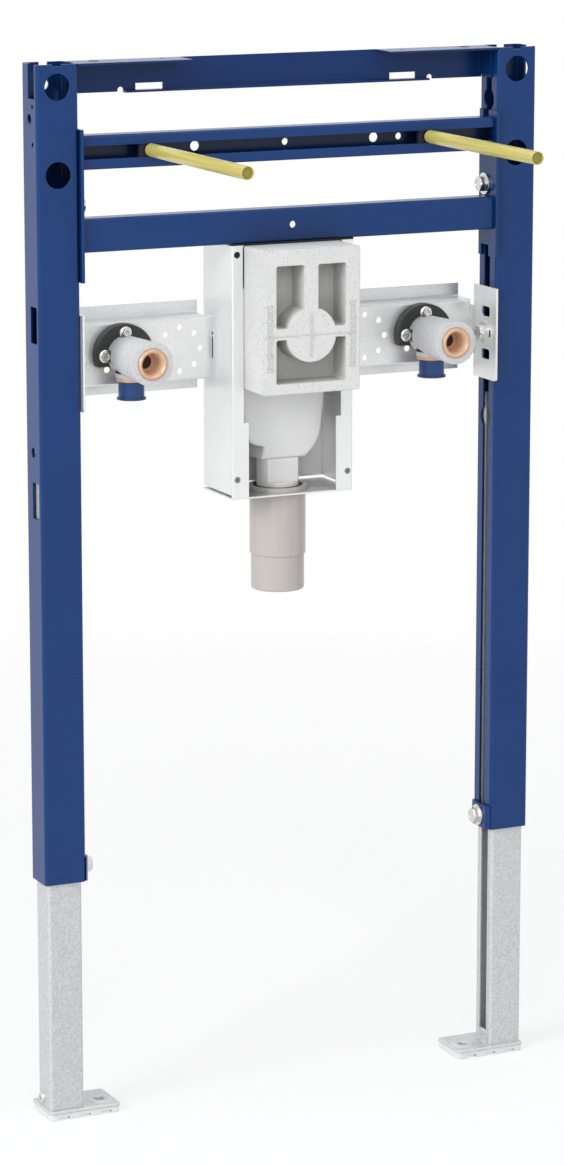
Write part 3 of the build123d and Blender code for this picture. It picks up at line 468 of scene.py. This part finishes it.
# A grid of points for each copy: its rows follow the path and its columns go round and join up, and the
# doubles at a pole or a closing row are merged
def addSurface(name, points, slotName, body, sharpAngle=35.0, finish=None):
    copies, rows, columns = points.shape[:3]
    i, j = np.meshgrid(np.arange(rows - 1), np.arange(columns), indexing="ij")
    following = (j + 1) % columns
    quads = np.stack(
        [i * columns + j, i * columns + following, (i + 1) * columns + following, (i + 1) * columns + j], -1
    ).reshape(-1, 4)
    faces = (quads[None] + np.arange(copies)[:, None, None] * rows * columns).reshape(-1, 4)
    mesh = bpy.data.meshes.new(name)
    mesh.from_pydata(points.reshape(-1, 3).tolist(), [], faces.tolist())
    welded = bmesh.new()
    welded.from_mesh(mesh)
    bmesh.ops.remove_doubles(welded, verts=welded.verts, dist=1e-7)
    bmesh.ops.recalc_face_normals(welded, faces=welded.faces)
    welded.to_mesh(mesh)
    welded.free()
    mesh.polygons.foreach_set("use_smooth", np.ones(len(mesh.polygons), bool))
    mesh.set_sharp_from_angle(angle=radians(sharpAngle))
    piece = bpy.data.objects.new(name, mesh)
    scene.collection.objects.link(piece)
    piece.data.materials.append(finish or finishes[slotName])
    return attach(piece, body)


# A turned form about one axis: each profile point is a radius and a height along the axis, and where it has
# a third value, flat, a hexagon limits the radius at the angle a to flat / cos(a folded into 60 degrees)
def turnedHeads(middles, axis, profile, steps=48, noFlat=1.0):
    middles, axis = np.asarray(middles, float), np.asarray(axis, float)
    angle = np.linspace(0, 2 * np.pi, steps, endpoint=False)
    sixth = np.mod(angle, np.pi / 3) - np.pi / 6
    radius, height, flat = np.array([(*point, noFlat)[:3] for point in profile]).T[:, :, None]
    reach = np.minimum(radius, flat / np.cos(sixth))
    up = np.array([0.0, 1.0, 0.0] if abs(axis[2]) > 0.5 else [0.0, 0.0, 1.0])
    side = np.cross(axis, up)
    loop = side * (reach * np.cos(angle))[..., None] + up * (reach * np.sin(angle))[..., None]
    rise = axis * (height + 0 * reach)[..., None]
    return middles[:, None, None, :] + loop + rise


# Bars with an oval section of the given width and half height, drawn to a point at both ends:
# the section's size is (1 - |t|^8)^0.5, with t from -1 to 1 along the bar
def ovalBars(middles, along, out, lengths, width, height, steps=25, around=12):
    middles = np.asarray(middles, float)
    along = np.broadcast_to(np.asarray(along, float), middles.shape)
    out = np.broadcast_to(np.asarray(out, float), middles.shape)
    lengths = np.broadcast_to(np.asarray(lengths, float), len(middles))
    t = np.linspace(-1, 1, steps)
    size = np.sqrt(np.clip(1 - np.abs(t) ** 8, 0, 1))
    angle = np.linspace(0, 2 * np.pi, around, endpoint=False)
    across = np.cross(along, out)
    step = along[:, None, None, :] * (lengths[:, None] * t[None, :] / 2)[:, :, None, None]
    section = (
        across[:, None, None, :] * (width / 2 * size[:, None] * np.cos(angle)[None, :])[None, :, :, None]
        + out[:, None, None, :] * (height * size[:, None] * np.sin(angle)[None, :])[None, :, :, None]
    )
    return middles[:, None, None, :] + step + section


# Plain bars: four corners at the low and the high end along x, each end closed in its middle
def plainBars(lows, highs):
    lows, highs = np.asarray(lows, float), np.asarray(highs, float)
    corner = np.array([[0.0, 0.0], [1.0, 0.0], [1.0, 1.0], [0.0, 1.0]])
    share = np.stack([np.full((4, 2), 0.5), corner, corner, np.full((4, 2), 0.5)])
    end = np.array([0.0, 0.0, 1.0, 1.0])[:, None, None] + np.zeros((4, 4, 1))
    return lows[:, None, None, :] + (highs - lows)[:, None, None, :] * np.concatenate([end, share], -1)


sides = (("left", -1.0), ("right", 1.0))
towardsFront, upwards, acrossFrame, towardsWall = (0, -1, 0), (0, 0, 1), (1, 0, 0), (0, 1, 0)
taps = {"x": 0.153, "z": 0.7088}  # the middle of each tap socket's bore
softAngle = 60.0  # small rounded pieces are shaded smooth up to this angle

# Three screws hold each mounting disc, above and beside the socket
discScrew = {
    "ring": 0.0203, "faceY": 0.0147,
    "profile": [
        (0.0, 0.0), (0.0060, 0.0), (0.0060, 0.0008), (0.0055, 0.0013), (0.0047, 0.0016, 0.0040),
        (0.0047, 0.0043, 0.0040), (0.0040, 0.0050, 0.0040), (0.0026, 0.0050), (0.0020, 0.0041), (0.0, 0.0039),
    ],
}
for side, sign in sides:
    tapX, ring = sign * taps["x"], discScrew["ring"]
    shifts = ((0, ring), (-ring, 0), (ring, 0))
    spots = [(tapX + right, discScrew["faceY"], taps["z"] + rise) for right, rise in shifts]
    heads = turnedHeads(spots, towardsFront, discScrew["profile"])
    addSurface(side + "_disc_screws", heads, "plated_steel", "frame")
print("disc screws made")

# A raised hexagon rim on the head of each large bolt
boltCrown = {
    "names": ("clamp_bolt", "end_plate_bolt", "bracket_bolt"),
    "profile": [
        (0.0, -0.0004), (0.0077, -0.0004, 0.0066), (0.0077, 0.0, 0.0066), (0.0064, 0.0007, 0.0066),
        (0.0046, 0.0007), (0.0040, 0.0002), (0.0, 0.0001),
    ],
}
for side, sign in sides:
    boxes = [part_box(side + "_" + name) for name in boltCrown["names"]]
    spots = [
        ((high if sign < 0 else low)[0], (low[1] + high[1]) / 2, (low[2] + high[2]) / 2)
        for low, high in boxes
    ]
    heads = turnedHeads(spots, (-sign, 0, 0), boltCrown["profile"])
    addSurface(side + "_bolt_crowns", heads, "plated_steel", "frame")
print("bolt crowns made")

# A screw low on the outer side of each leg
legScrew = {
    "place": (0.2467, 0.0046, 0.0170),
    "profile": [
        (0.0, 0.0), (0.0052, 0.0), (0.0052, 0.0010), (0.0046, 0.0022), (0.0032, 0.0031), (0.0024, 0.0031),
        (0.0021, 0.0013), (0.0, 0.0011),
    ],
}
for side, sign in sides:
    x, y, z = legScrew["place"]
    heads = turnedHeads([(sign * x, y, z)], (sign, 0, 0), legScrew["profile"])
    addSurface(side + "_leg_screw", heads, "plated_steel", "feet")
print("leg screws made")

# A threaded lining in each socket, in a lighter copy of the brass as painted light on the bore wall:
# its inner radius is radius - ripple * (1 - cos(turn)) / 2, with one turn for each pitch of depth,
# and its outer wall closes the ring
socketThread = {
    "radius": 0.01015, "ripple": 0.00022, "outer": 0.01029, "pitch": 0.0018,
    "mouthY": -0.0476, "endY": -0.0300, "rows": 97,
}
threadY = np.linspace(socketThread["mouthY"], socketThread["endY"], socketThread["rows"])
threadTurn = 2 * np.pi * (threadY - threadY[0]) / socketThread["pitch"]
threadR = socketThread["radius"] - socketThread["ripple"] * (1 - np.cos(threadTurn)) / 2
threadProfile = [(socketThread["outer"], 0.0)] + list(zip(threadR, threadY[0] - threadY))
threadProfile += [(socketThread["outer"], threadY[0] - threadY[-1]), (socketThread["outer"], 0.0)]
for side, sign in sides:
    lining = turnedHeads([(sign * taps["x"], threadY[0], taps["z"])], towardsFront, threadProfile)
    addSurface(side + "_socket_thread", lining, "red_brass", "frame", softAngle, litBrassFinish)
print("socket threads made")

# A flat dark disc at the end of each socket's bore: painted shade where the hole runs on deeper
boreShadeDisc = {"backY": -0.0296, "profile": [(0.0, 0.0), (0.0054, 0.0), (0.0054, 0.0006), (0.0, 0.0006)]}
for side, sign in sides:
    disc = turnedHeads([(sign * taps["x"], boreShadeDisc["backY"], taps["z"])], towardsFront, boreShadeDisc["profile"])
    addSurface(side + "_waterway", disc, "red_brass", "frame", finish=boreShadeFinish)
print("boreShadeDiscs made")

# The foam reaches down round the top of each brass collar
foamSkirt = {
    "inner": 0.0140, "outer": 0.0150, "round": 0.0006, "middleY": 0.0019, "top": 0.6946, "low": 0.6905,
}
skirtDrop = foamSkirt["low"] - foamSkirt["top"]
skirtProfile = [
    (foamSkirt["inner"], 0.0),
    (foamSkirt["outer"], 0.0),
    (foamSkirt["outer"], skirtDrop + foamSkirt["round"]),
    (foamSkirt["outer"] - foamSkirt["round"], skirtDrop),
    (foamSkirt["inner"], skirtDrop),
    (foamSkirt["inner"], 0.0),
]
for side, sign in sides:
    skirt = turnedHeads([(sign * taps["x"], foamSkirt["middleY"], foamSkirt["top"])], upwards, skirtProfile)
    addSurface(side + "_foam_skirt", skirt, "grey_foam", "frame")
print("foam skirts made")

# A closing disc just inside the front end of each yellow sleeve, in a darker copy of the yellow as painted
# shade
sleeveEnd = {
    "inset": 0.0016,
    "profile": [(0.0, -0.0012), (0.0053, -0.0012), (0.0053, 0.0), (0.0040, 0.0004), (0.0, 0.00048)],
}
for side, sign in sides:
    low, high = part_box(side + "_rod_sleeve")
    spot = ((low[0] + high[0]) / 2, low[1] + sleeveEnd["inset"], (low[2] + high[2]) / 2)
    disc = turnedHeads([spot], towardsFront, sleeveEnd["profile"])
    addSurface(side + "_sleeve_end", disc, "yellow_plastic", "frame", finish=shadedSleeveEndFinish)
print("sleeve ends made")

# Small grip ribs round the mouth of each socket
socketRibs = {
    "count": 22, "radius": 0.0140, "middleY": -0.0484, "length": 0.0014, "width": 0.0018, "height": 0.0003,
    "steps": 7, "around": 10,
}
ribAngle = np.linspace(0, 2 * np.pi, socketRibs["count"], endpoint=False)
outward = np.stack([np.cos(ribAngle), 0 * ribAngle, np.sin(ribAngle)], -1)
for side, sign in sides:
    middles = np.array([sign * taps["x"], socketRibs["middleY"], taps["z"]]) + outward * socketRibs["radius"]
    ribs = ovalBars(
        middles, towardsWall, outward, socketRibs["length"], socketRibs["width"], socketRibs["height"],
        socketRibs["steps"], socketRibs["around"],
    )
    addSurface(side + "_socket_ribs", ribs, "red_brass", "frame", softAngle)
print("socket ribs made")

# Sunk screws in the box's front flanges, dark at the top and grey at the bottom
boxScrew = {
    "x": 0.0561, "y": -0.0174, "low": 0.5909, "high": 0.7985,
    "profile": [
        (0.0, -0.0002), (0.0032, -0.0002), (0.0032, 0.0), (0.0028, 0.00025), (0.0016, 0.0003),
        (0.0013, -0.0002), (0.0, -0.0003),
    ],
}
for name, z, finish in (
    ("box_screws", boxScrew["high"], darkSteelAndShadeFinish), ("box_low_screws", boxScrew["low"], greyScrewFinish),
):
    spots = [(sign * boxScrew["x"], boxScrew["y"], z) for side, sign in sides]
    heads = turnedHeads(spots, towardsFront, boxScrew["profile"])
    addSurface(name, heads, "plated_steel", "frame", finish=finish)
print("box screws made")

# Dark bars of painted shade where the sheet is slit: beside the plug, and a slit with a dot above it
# in the tap rails' tabs
sheetSlits = {
    "plugX": 0.0499, "plugY": -0.0175, "plugZ": 0.7865, "plugLength": 0.040, "tabX": 0.0630, "tabY": 0.02225,
    "tabLength": 0.0212, "dotRise": 0.0135, "dotLength": 0.0030,
    "width": 0.0010, "tabWidth": 0.0024, "height": 0.0003,
}
plugMiddles = [(sign * sheetSlits["plugX"], sheetSlits["plugY"], sheetSlits["plugZ"]) for side, sign in sides]
plugSlits = ovalBars(
    plugMiddles, upwards, towardsFront, sheetSlits["plugLength"], sheetSlits["width"], sheetSlits["height"]
)
tabSpots = [
    (sign, rise, length)
    for rise, length in ((0.0, sheetSlits["tabLength"]), (sheetSlits["dotRise"], sheetSlits["dotLength"]))
    for side, sign in sides
]
tabSlits = ovalBars(
    [(sign * sheetSlits["tabX"], sheetSlits["tabY"], taps["z"] + rise) for sign, rise, length in tabSpots],
    upwards, [(sign, 0, 0) for sign, rise, length in tabSpots], [length for sign, rise, length in tabSpots],
    sheetSlits["tabWidth"], sheetSlits["height"],
)
slits = np.concatenate([plugSlits, tabSlits])
addSurface("sheet_slits", slits, "bright_sheet", "frame", softAngle, darkSteelAndShadeFinish)
print("sheet slits made")

# The top rail's web reaches a little further down between its relief notches and the posts
railStrips = {
    "inner": 0.1585, "outer": 0.2100, "front": 0.0156, "back": 0.0174, "low": 0.9477, "high": 0.9504,
}
stripLows = np.array([
    (min(sign * railStrips["inner"], sign * railStrips["outer"]), railStrips["front"], railStrips["low"])
    for side, sign in sides
])
stripSize = np.array([
    railStrips["outer"] - railStrips["inner"], railStrips["back"] - railStrips["front"],
    railStrips["high"] - railStrips["low"],
])
strips = plainBars(stripLows, stripLows + stripSize)
# The strips take the darker blue, painted shade as on the top rail
addSurface("rail_end_strips", strips, "blue_paint", "frame", finish=shadedBlueFinish)
print("rail strips made")

# Raised marks on the plug's front: a cross over the boss and a plain ladder of ticks at each edge
plugMarks = {
    "faceY": -0.0572, "crossZ": 0.7274, "crossLength": 0.094, "postLength": 0.042, "postGap": 0.0011,
    "ladderX": 0.0415, "ladderTop": 0.7560, "ladderBottom": 0.6960, "ladderGap": 0.0022, "ticks": 21,
    "tickLength": 0.0045, "longTick": 0.0085, "longEvery": 5, "width": 0.0009, "height": 0.00045,
}
tickZ = np.linspace(plugMarks["ladderBottom"], plugMarks["ladderTop"], plugMarks["ticks"])
isLong = np.arange(plugMarks["ticks"]) % plugMarks["longEvery"] == 0
tickLengths = np.where(isLong, plugMarks["longTick"], plugMarks["tickLength"])
flatBars = [(0.0, plugMarks["crossZ"], plugMarks["crossLength"])]
flatBars += [(sign * plugMarks["ladderX"], z, n) for side, sign in sides for z, n in zip(tickZ, tickLengths)]
ladderMiddle = (plugMarks["ladderTop"] + plugMarks["ladderBottom"]) / 2
ladderLength = plugMarks["ladderTop"] - plugMarks["ladderBottom"]
uprightBars = [
    (sign * plugMarks["postGap"], plugMarks["crossZ"], plugMarks["postLength"]) for side, sign in sides
]
uprightBars += [
    (sign * plugMarks["ladderX"] + shift, ladderMiddle, ladderLength)
    for side, sign in sides for shift in (-plugMarks["ladderGap"], plugMarks["ladderGap"])
]
for name, bars, along in (
    ("plug_flat_marks", flatBars, acrossFrame), ("plug_upright_marks", uprightBars, upwards),
):
    middles = [(x, plugMarks["faceY"], z) for x, z, n in bars]
    lengths = [n for x, z, n in bars]
    marks = ovalBars(middles, along, towardsFront, lengths, plugMarks["width"], plugMarks["height"])
    addSurface(name, marks, "white_foam", "frame", softAngle)
print("plug marks made")


# Rays that find plain white: those from the camera, and those that gloss or a clear piece sends on
def whiteRays(tree):
    path = put(tree, "LightPath").outputs
    seen = put(tree, "Math", {0: path["Is Camera Ray"], 1: path["Is Glossy Ray"]}, operation="MAXIMUM")
    seen = put(tree, "Math", {0: seen.outputs[0], 1: path["Is Transmission Ray"]}, operation="MAXIMUM")
    return seen.outputs[0]


# The floor is white to the camera, keeps the shadow near the object and fades to plain white further out
floorLook = {
    "half": 8.0, "drop": 0.0004, "glow": 0.62, "bounce": 0.38, "near": 0.7, "far": 2.2,
    "tone": 0.78, "paleTone": 0.81, "cloudScale": 3.0,
}


def makeFloor():
    half, drop = floorLook["half"], floorLook["drop"]
    mesh = bpy.data.meshes.new("studioFloor")
    corners = [(-half, -half, -drop), (half, -half, -drop), (half, half, -drop), (-half, half, -drop)]
    mesh.from_pydata(corners, [], [(0, 1, 2, 3)])
    floor = bpy.data.objects.new("studioFloor", mesh)
    scene.collection.objects.link(floor)
    material = bpy.data.materials.new("floorWhite")
    material.use_nodes = True
    tree = material.node_tree
    tree.nodes.clear()
    place = put(tree, "TexCoord").outputs["Object"]
    far = put(tree, "VectorMath", {0: place}, operation="LENGTH").outputs["Value"]
    fade = put(tree, "MapRange", {"Value": far, "From Min": floorLook["near"], "From Max": floorLook["far"]})
    cloud = useGroup(tree, toneDrift, {"Vector": place, "Scale": floorLook["cloudScale"]})["Tone"]
    tones = [(floorLook[name],) * 3 + (1,) for name in ("tone", "paleTone")]
    lit = put(tree, "BsdfDiffuse", {"Color": mixColour(tree, cloud, *tones)})
    part = put(tree, "BsdfDiffuse", {"Color": (floorLook["bounce"],) * 3 + (1,)})
    glow = put(tree, "Emission", {"Color": (1, 1, 1, 1), "Strength": floorLook["glow"]})
    white = put(tree, "Emission", {"Color": (1, 1, 1, 1), "Strength": 1.0})
    near = put(tree, "AddShader", {0: part.outputs[0], 1: glow.outputs[0]})
    shown = put(tree, "MixShader", {0: fade.outputs["Result"], 1: near.outputs[0], 2: white.outputs[0]})
    whole = put(tree, "MixShader", {0: whiteRays(tree), 1: lit.outputs[0], 2: shown.outputs[0]})
    tree.links.new(whole.outputs[0], put(tree, "OutputMaterial").inputs["Surface"])
    mesh.materials.append(material)
    floor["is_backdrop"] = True


makeFloor()
print("floor made")

worldLook = {"ambient": 0.59, "tint": (0.97, 0.985, 1.0), "white": 1.0}
world = bpy.data.worlds.new("studio")
scene.world = world
world.use_nodes = True
worldTree = world.node_tree
worldTree.nodes.clear()
ambient = put(worldTree, "Background", {"Color": (*worldLook["tint"], 1), "Strength": worldLook["ambient"]})
white = put(worldTree, "Background", {"Color": (1, 1, 1, 1), "Strength": worldLook["white"]})
mixed = put(worldTree, "MixShader", {0: whiteRays(worldTree), 1: ambient.outputs[0], 2: white.outputs[0]})
worldTree.links.new(mixed.outputs[0], put(worldTree, "OutputWorld").inputs["Surface"])

# Soft square lamps that all face the middle of the frame: place and size in metres, power in watts
lamps = {
    "keyLamp": {"place": (-3.5, -1.3, 2.3), "size": 1.8, "power": 73.0},
    "topLamp": {"place": (0.2, -0.6, 3.4), "size": 2.0, "power": 20.0},
    "fillLamp": {"place": (-1.3, -3.5, 2.3), "size": 2.0, "power": 26.0},
}
lampAim = np.array([0.0, 0.0, 0.5])
for name, lamp in lamps.items():
    lampData = bpy.data.lights.new(name, "AREA")
    lampData.size = lamp["size"]
    lampData.energy = lamp["power"]
    lampObject = bpy.data.objects.new(name, lampData)
    lampObject.location = lamp["place"]
    away = np.array(lamp["place"]) - lampAim
    lampTilt, lampTurn = np.arctan2(np.hypot(away[0], away[1]), away[2]), np.arctan2(away[0], -away[1])
    lampObject.rotation_euler = (lampTilt, 0, lampTurn)
    scene.collection.objects.link(lampObject)
print("lights set")

bpy.context.view_layer.update()
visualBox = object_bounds()
boxes = {"cad": [list(map(float, v)) for v in cadBox], "visual": [list(map(float, v)) for v in visualBox]}
